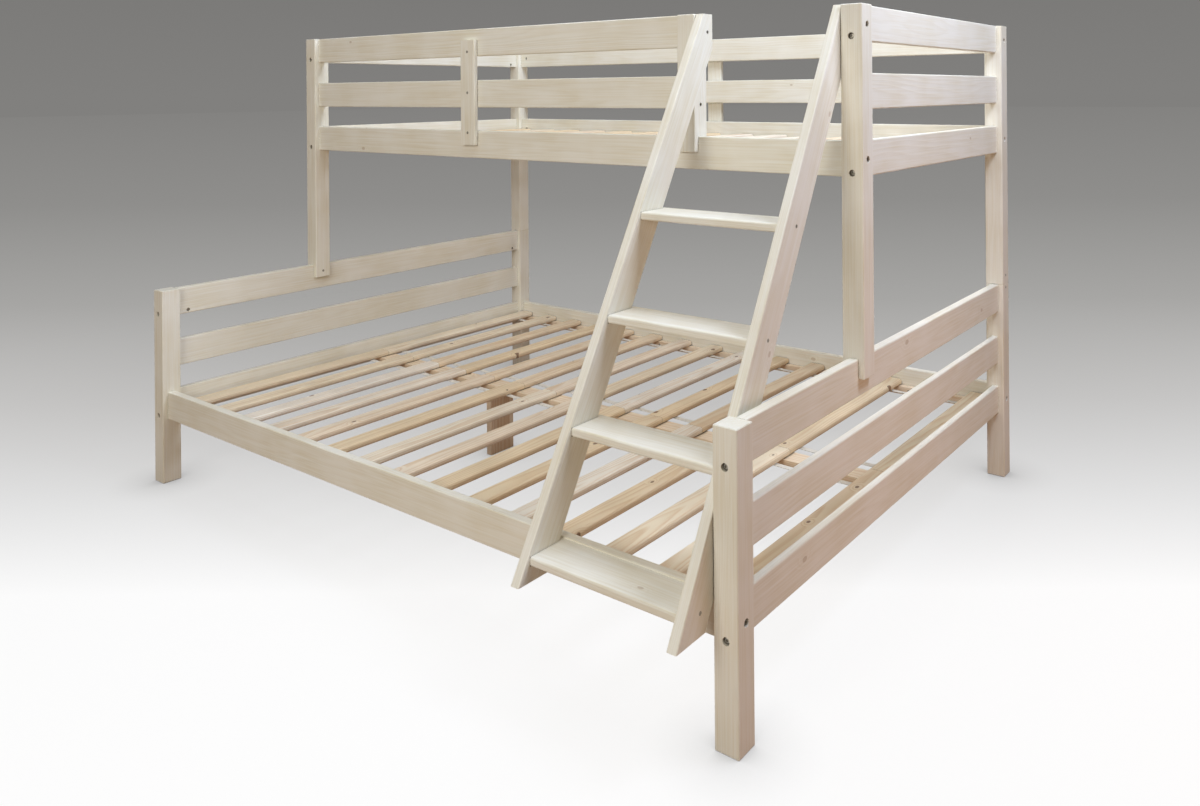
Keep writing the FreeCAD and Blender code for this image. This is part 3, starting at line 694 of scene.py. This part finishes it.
# Shares of the shank's radius and of the screw's length
SCREW_ROOT = 0.7
NECK_END = (0.8, 0.35)
for node in sorted(n for n in nodes if n.endswith("_screws")):
    shape = bmesh.new()
    for row in fasteners_in(node):
        turned = turned_at(row)
        wide, thin = row["head"], row["tail"]
        recess = [ring(shape, turned, wide * RECESS_REACH[0], RECESS_DEPTH, cross),
                  ring(shape, turned, wide * RECESS_REACH[1], 0.0, cross)]
        shape.faces.new(recess[0])
        rim = [ring(shape, turned, wide * RIM_REACH, 0.0), ring(shape, turned, wide, RIM_DEPTH)]
        neck = [ring(shape, turned, thin, HEAD_DEPTH),
                ring(shape, turned, thin * NECK_END[0], row["length"] * NECK_END[1])]
        skin(shape, recess + rim + neck)
        spiral(shape, turned, neck[-1], thin, thin * SCREW_ROOT, SCREW_PITCH, row["length"], POINTED)
    piece_from(shape, node.replace("screws", "cross_screws"), node, zinc)

# %% [markdown]
# The connector bolts draw the rails to the posts. They have a low round head with a hexagon socket, a plain
# shank and a fine machine thread at the far end, where the barrel nut or the ladder's sleeve takes hold.

# %% Connector bolts
BOLT_PITCH = 0.001
THREADED = 0.022
SOCKET = 0.0029
SOCKET_TAPER = 0.0002
SOCKET_DEPTH = 0.0036
BOLT_HEAD = 0.006
# The head's rounded rims: how far in from its radius, and how deep or how far above its underside
BOLT_RIM = ((0.0009, 0.0), (0.0003, 0.0003), (0.0, 0.001))
BOLT_UNDERSIDE = ((0.0, 0.0003), (0.0004, 0.0))
# The shank's step down to the thread: the share of its radius that is left, and the step's depth
THREAD_START = (0.86, 0.0004)
BOLT_ROOT = 0.8
for node in ("frame_bolts", "ladder_bolts"):
    shape = bmesh.new()
    for row in fasteners_in(node):
        turned = turned_at(row)
        wide, thin = row["head"], row["tail"]
        plain = row["length"] - THREADED
        socket = [ring(shape, turned, SOCKET - SOCKET_TAPER, SOCKET_DEPTH, hexagon),
                  ring(shape, turned, SOCKET, 0.0, hexagon)]
        shape.faces.new(socket[0])
        head = [ring(shape, turned, wide - inward, depth) for inward, depth in BOLT_RIM]
        head += [ring(shape, turned, wide - inward, BOLT_HEAD - up) for inward, up in BOLT_UNDERSIDE]
        head.append(ring(shape, turned, thin, BOLT_HEAD))
        shank = [ring(shape, turned, thin, plain),
                 ring(shape, turned, thin * THREAD_START[0], plain + THREAD_START[1])]
        skin(shape, socket + head + shank)
        spiral(shape, turned, shank[-1], thin, thin * BOLT_ROOT, BOLT_PITCH, row["length"], BLUNT)
    piece_from(shape, node.replace("bolts", "socket_bolts"), node, zinc)

# %% [markdown]
# A barrel nut is a short steel cylinder that lies across the bolt inside the rail. It is dropped in from the
# inner face, and a slit in its visible end lets a screwdriver turn its threaded hole towards the bolt. So
# the slit goes on the end that faces the middle of its bed.

# %% Barrel nuts
SLIT_DEPTH = 0.0012
# Shares of the nut's radius: the slit's bottom and top
SLIT_REACH = (0.8, 0.82)
NUT_BEVEL = 0.0005
# The upper bed's nuts lie less than this far below its slats
NUT_BELOW_SLATS = 0.2


def facing_middle(row):
    """The nut's row, started from the end that is nearer to the middle of its bed."""
    bed = "upper_slats" if row["place"].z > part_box("upper_slats")[0][2] - NUT_BELOW_SLATS else "centre_beam"
    middle = sum((Vector(corner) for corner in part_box(bed)), Vector()) / 2
    other = row["place"] + row["way"] * row["length"]
    if abs((other - middle).dot(row["way"])) < abs((row["place"] - middle).dot(row["way"])):
        return dict(row, place=other, way=-row["way"])
    return row


shape = bmesh.new()
for row in fasteners_in("barrel_nuts"):
    row = facing_middle(row)
    turned, wide, length = turned_at(row), row["head"], row["length"]
    cut = [ring(shape, turned, wide * SLIT_REACH[0], SLIT_DEPTH, slit),
           ring(shape, turned, wide * SLIT_REACH[1], 0.0, slit)]
    body = [ring(shape, turned, wide - NUT_BEVEL, 0.0), ring(shape, turned, wide, NUT_BEVEL),
            ring(shape, turned, wide, length - NUT_BEVEL), ring(shape, turned, wide - NUT_BEVEL, length)]
    shape.faces.new(cut[0])
    shape.faces.new(body[-1])
    skin(shape, cut + body)
piece_from(shape, "slit_barrel_nuts", "barrel_nuts", zinc)

# %% [markdown]
# A flat cotton tape runs under each row of slats near both ends and keeps them evenly apart. It is stapled
# to each slat, so it is tight against the wood there and hangs a little between two slats. A strip of
# quads that follows this line is enough, with a real thickness so that its edge shows.

# %% Woven cotton
# A twill of 1.2 mm threads is drawn at 2.4 mm, the finest that shows here
THREAD = 0.0024
TWILL_TURN = math.radians(40)
# The spacing of the wave texture's bands at scale 1
WAVE_AT_ONE = math.pi / 10
COTTON = ("#d9d6cc", "#f1efe8")
DUST = "#cfc5b0"
DUST_SPOTS_PER_METRE = 30.0
DUST_RANGE = (0.45, 0.8)
DUST_SHARE = 0.35
COTTON_ROUGH = (0.85, 0.97)
COTTON_RELIEF = (0.6, 0.0004)
COTTON_SHEEN = (0.25, 0.5)
UNEVEN = {"Distortion": 0.6, "Detail": 2.0, "Detail Scale": 8.0}


def woven_cotton():
    material, tree = finish_named("woven_cotton")
    place = add(tree, "ShaderNodeTexCoord", {}, out="Object")
    twill = add(tree, "ShaderNodeMapping", {"Vector": place, "Rotation": (0, 0, TWILL_TURN)})
    threads = add(tree, "ShaderNodeTexWave", {"Vector": twill, "Scale": WAVE_AT_ONE / THREAD, **UNEVEN},
                  out="Fac", bands_direction="X")
    soil = add(tree, "ShaderNodeTexNoise", {"Vector": place, "Scale": DUST_SPOTS_PER_METRE, "Detail": 3.0},
               out="Fac")
    yarns = [linear(shade) for shade in COTTON]
    colour = add(tree, "ShaderNodeMix", {0: threads, 6: yarns[0], 7: yarns[1]}, **COLOUR_MIX)
    dirt = add(tree, "ShaderNodeMapRange", {"Value": soil, "From Min": DUST_RANGE[0],
                                            "From Max": DUST_RANGE[1], "To Max": DUST_SHARE})
    colour = add(tree, "ShaderNodeMix", {0: dirt, 6: colour, 7: linear(DUST)}, **COLOUR_MIX)
    rough = add(tree, "ShaderNodeMapRange", {"Value": soil, "To Min": COTTON_ROUGH[0],
                                             "To Max": COTTON_ROUGH[1]})
    bump = add(tree, "ShaderNodeBump", {"Height": threads, "Strength": COTTON_RELIEF[0],
                                        "Distance": COTTON_RELIEF[1]})
    fuzz = {"Sheen Weight": COTTON_SHEEN[0], "Sheen Roughness": COTTON_SHEEN[1]}
    shader = add(tree, "ShaderNodeBsdfPrincipled", {"Base Color": colour, "Roughness": rough,
                                                    "Normal": bump, **fuzz})
    add(tree, "ShaderNodeOutputMaterial", {"Surface": shader})
    return material


cotton = woven_cotton()
print(cotton.name, "with threads drawn %.1f mm apart" % (THREAD * 1000))

# %% [markdown]
# The tape's line is known at each slat, where the staples hold it, and between slats it hangs by 1.5 mm. So
# the strip is a row of cross-sections along that line, closed at both ends. Cloth physics would find the
# same line, but for a tape this short and tight the curve is known.

# %% Shape of a tape
TAPE_SAG = 0.0015
TAPE_STEPS = 6
# The staples lie this share of a slat's width from its middle
STAPLED_AT = 0.4


def tape_stations(start, end):
    """Places along X where the tape has a cross-section, each with how far it hangs there."""
    marks = [start]
    for k in range(SLATS_IN_ROW):
        centre = first_slat + k * slat_pitch
        marks += [centre - SLAT_WIDTH * STAPLED_AT, centre + SLAT_WIDTH * STAPLED_AT]
    marks.append(end)
    stations = []
    for k, (a, b) in enumerate(zip(marks, marks[1:])):
        hanging = k % 2 == 0 and 0 < k < len(marks) - 2
        steps = TAPE_STEPS if hanging else 1
        for step in range(steps):
            part = step / steps
            # A parabola: level with the staples at both ends, and lowest halfway
            sag = TAPE_SAG * 4 * part * (1 - part) if hanging else 0.0
            stations.append((a + (b - a) * part, sag))
    return stations + [(end, 0.0)]


print("cross-sections in a tape:", len(tape_stations(row_low[0], row_high[0])))


def tape_mesh(low, high):
    shape = bmesh.new()
    rings = []
    for x, sag in tape_stations(low.x, high.x):
        corners = ((low.y, low.z), (high.y, low.z), (high.y, high.z), (low.y, high.z))
        rings.append([shape.verts.new((x, y, z - sag)) for y, z in corners])
    for here, there in zip(rings, rings[1:]):
        for k in range(4):
            shape.faces.new((here[k], there[k], there[(k + 1) % 4], here[(k + 1) % 4]))
    shape.faces.new(rings[0])
    shape.faces.new(reversed(rings[-1]))
    bmesh.ops.recalc_face_normals(shape, faces=shape.faces)
    mesh = bpy.data.meshes.new("tape")
    shape.to_mesh(mesh)
    shape.free()
    return mesh

# %% [markdown]
# Two tapes hang below each of the three rows of slats, so there are six.

# %% Hang the tapes
TAPE_WIDTH = 0.017
for row in ("lower_webbing_front", "lower_webbing_rear", "upper_webbing"):
    low, high = (Vector(corner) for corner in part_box(row))
    only_slot(nodes[row].data, cotton)
    for side, near in (("front", low.y), ("rear", high.y - TAPE_WIDTH)):
        strip_low = Vector((low.x, near, low.z))
        strip_high = Vector((high.x, near + TAPE_WIDTH, high.z))
        tape = bpy.data.objects.new("%s_tape_%s" % (row, side), tape_mesh(strip_low, strip_high))
        bpy.context.scene.collection.objects.link(tape)
        only_slot(tape.data, cotton)
        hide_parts(row)
        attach(tape, "root")
        print(tape.name, "%.3f m long" % (high.x - low.x))

# %% [markdown]
# The bed stands on a pale floor, one square so large that its edges are never seen.

# %% Floor
FLOOR_REACH = 60.0
floor_mesh = bpy.data.meshes.new("pale_floor")
corners = [(x * FLOOR_REACH, y * FLOOR_REACH, 0) for x, y in ((-1, -1), (1, -1), (1, 1), (-1, 1))]
floor_mesh.from_pydata(corners, [], [(0, 1, 2, 3)])
floor = bpy.data.objects.new("pale_floor", floor_mesh)
bpy.context.scene.collection.objects.link(floor)
print("floor: %.0f m wide" % (2 * FLOOR_REACH))

# %% [markdown]
# The floor fades from white in front to grey at the back. The grey is painted on it by its distance from the
# front, so it stays put when the view moves, and far off to the sides it fades to the wall's grey too.

# %% The floor's grey
WALL_GREY = "#81807e"
# The floor's grey at rows of the picture, from the level line down
FADE = ((91, WALL_GREY), (200, "#8f8e8c"), (300, "#a7a6a4"), (400, "#c8c7c6"), (500, "#e7e7e7"),
        (590, "#ffffff"))
rows_down = FADE[-1][0] - FADE[0][0]
# In metres: nearer than this the floor keeps one grey, so that nothing is divided by zero
NEAREST_FLOOR = 0.5
# To the sides the floor turns to the wall's grey: past so many times its depth, over these metres
ASIDE_DEPTHS = 1.2
ASIDE_REACH = (2.0, 6.0)
print("the floor fades over %d rows of the picture" % rows_down)


def fading_grey(tree, place, from_bed):
    """The floor's grey, from white in front to the wall's grey at the back and far to the sides."""
    away = add(tree, "ShaderNodeVectorMath", {0: place, 1: tuple(EYE)}, operation="SUBTRACT")
    depth = add(tree, "ShaderNodeVectorMath", {0: away, 1: tuple(ahead)}, out="Value",
                operation="DOT_PRODUCT")
    depth = add(tree, "ShaderNodeMath", {0: depth, 1: NEAREST_FLOOR}, operation="MAXIMUM")
    row = add(tree, "ShaderNodeMath", {0: FOCAL_PX * EYE.z / rows_down, 1: depth}, operation="DIVIDE")
    grey = add(tree, "ShaderNodeValToRGB", {0: row})
    ramp = grey.node.color_ramp
    for _ in FADE[2:]:
        ramp.elements.new(0.5)
    for element, (at, colour) in zip(ramp.elements, FADE):
        element.position = (at - FADE[0][0]) / rows_down
        element.color = linear(colour)
    aside = add(tree, "ShaderNodeMath", {0: depth, 1: -ASIDE_DEPTHS, 2: from_bed}, operation="MULTIPLY_ADD")
    far = {"Value": aside, "From Min": ASIDE_REACH[0], "From Max": ASIDE_REACH[1]}
    aside = add(tree, "ShaderNodeMapRange", far, interpolation_type="SMOOTHSTEP")
    return add(tree, "ShaderNodeMix", {0: aside, 6: grey, 7: linear(WALL_GREY)}, **COLOUR_MIX)

# %% [markdown]
# Most of what the camera sees is the floor's own light, so that only soft shadows stay, with a painted shadow
# round each foot. The bed itself is lit by a plain brown floor, which bounces less and warmer light.

# %% The floor's finish
# The share of real shadow near the bed, and the distances over which it goes, in metres
SHADOW_SHARE = 0.12
SHADOW_REACH = (1.2, 3.2)
# How far round a foot the floor's glow is darkened by a painted shadow, and by how much
FOOT_SHADE = (0.14, 0.75)
FOOT_RAYS = 16
FLOOR_BROWN = "#a07c5e"


def seen_directly(tree):
    """1 for rays from the camera, from a mirror or through glass, and 0 for the light that bounces."""
    rays = tree.nodes.new("ShaderNodeLightPath").outputs
    direct = add(tree, "ShaderNodeMath", {0: rays["Is Camera Ray"], 1: rays["Is Glossy Ray"]},
                 operation="MAXIMUM")
    return add(tree, "ShaderNodeMath", {0: direct, 1: rays["Is Transmission Ray"]}, operation="MAXIMUM")


material, tree = finish_named("pale_floor")
place = add(tree, "ShaderNodeNewGeometry", {}, out="Position")
from_bed = add(tree, "ShaderNodeVectorMath", {0: place}, out="Value", operation="LENGTH")
grey = fading_grey(tree, place, from_bed)
lit = add(tree, "ShaderNodeBsdfDiffuse", {"Color": grey})
# A painted shadow: the floor's glow is darkened where a foot or another part is near
painted_foot_shadow = add(tree, "ShaderNodeAmbientOcclusion", {"Distance": FOOT_SHADE[0]}, out="AO",
                samples=FOOT_RAYS)
painted_foot_shadow = add(tree, "ShaderNodeMapRange", {"Value": painted_foot_shadow, "To Min": 1 - FOOT_SHADE[1]})
shaded = add(tree, "ShaderNodeVectorMath", {0: grey, 1: painted_foot_shadow}, operation="MULTIPLY")
glow = add(tree, "ShaderNodeEmission", {"Color": shaded, "Strength": 1.0})
fades = {"Value": from_bed, "From Min": SHADOW_REACH[0], "From Max": SHADOW_REACH[1],
         "To Min": SHADOW_SHARE, "To Max": 0.0}
share = add(tree, "ShaderNodeMapRange", fades, interpolation_type="SMOOTHSTEP")
seen = add(tree, "ShaderNodeMixShader", {0: share, 1: glow, 2: lit})
brown = add(tree, "ShaderNodeBsdfDiffuse", {"Color": linear(FLOOR_BROWN)})
surface = add(tree, "ShaderNodeMixShader", {0: seen_directly(tree), 1: brown, 2: seen})
add(tree, "ShaderNodeOutputMaterial", {"Surface": surface})
only_slot(floor_mesh, material)
print(material.name, "with", len(tree.nodes), "nodes")

# %% [markdown]
# Behind the floor the wall is an even grey, a little darker higher up. What it shows and what it gives to
# the bed are kept apart: a grey wall is seen, and a weak warm light comes from it, as from a real room.

# %% Room
WALL_TOP = "#7b7a78"
# The upward share of the direction at which the wall is as dark as it gets
WALL_FULL_AT = 0.1
ROOM_LIGHT = ("#ffecd4", 0.08)
world = bpy.data.worlds.new("room")
world.use_nodes = True
bpy.context.scene.world = world
tree = world.node_tree
tree.nodes.clear()
ambient = add(tree, "ShaderNodeBackground", {"Color": linear(ROOM_LIGHT[0]), "Strength": ROOM_LIGHT[1]})
looking = add(tree, "ShaderNodeTexCoord", {}, out="Generated")
height = add(tree, "ShaderNodeSeparateXYZ", {0: looking}, out="Z")
height = add(tree, "ShaderNodeMapRange", {"Value": height, "From Min": 0.0, "From Max": WALL_FULL_AT})
wall = add(tree, "ShaderNodeMix", {0: height, 6: linear(WALL_GREY), 7: linear(WALL_TOP)}, **COLOUR_MIX)
backdrop = add(tree, "ShaderNodeBackground", {"Color": wall, "Strength": 1.0})
both = add(tree, "ShaderNodeMixShader", {0: seen_directly(tree), 1: ambient, 2: backdrop})
add(tree, "ShaderNodeOutputWorld", {"Surface": both})
print("room light: %.2f" % ROOM_LIGHT[1])

# %% [markdown]
# The light in the picture is soft. It is cool daylight from above and from high at the right, and a nearly
# white light from the front. Broad square lamps give it, because a small lamp would draw hard shadows of
# every slat. A weak warm lamp low at the right reddens the lower end, another warms the far left, and the
# back lamp only keeps the rear from going black. Their power is chosen so that a board shows about the
# colour that its finish is given.

# %% Lamps
# Each lamp's name, its place, what it points at, its width, its power in watts and its colour
LAMPS = (("ceiling_lamp", (0.0, -0.2, 3.0), (0.0, 0.0, 0.0), 2.0, 30.0, "#eef5ff"),
         ("window_lamp", (1.9, 0.1, 2.5), (-1.0, 0.1, 1.2), 0.8, 41.0, "#e4edff"),
         ("room_lamp", (0.9, -3.8, 2.0), (0.0, 0.0, 0.7), 1.8, 70.0, "#fdf9f0"),
         ("right_lamp", (2.3, 0.0, 0.5), (1.0, 0.0, 0.1), 1.0, 4.2, "#ffc59c"),
         ("side_lamp", (-3.0, -1.2, 2.2), (0.0, 0.0, 0.6), 2.0, 4.0, "#ffd6b0"),
         ("back_lamp", (-0.4, 3.4, 1.8), (0.0, 0.5, 0.7), 1.8, 30.0, "#fff6ec"))
for name, place, aim, size, watts, colour in LAMPS:
    light = bpy.data.lights.new(name, "AREA")
    light.energy = watts
    light.size = size
    light.color = linear(colour)[:3]
    lamp = bpy.data.objects.new(name, light)
    pointing = (Vector(aim) - Vector(place)).to_track_quat("-Z", "Y").to_matrix().to_4x4()
    lamp.matrix_world = Matrix.Translation(place) @ pointing
    bpy.context.scene.collection.objects.link(lamp)
bpy.context.scene.view_settings.view_transform = "Standard"
print("lamps:", len(LAMPS))
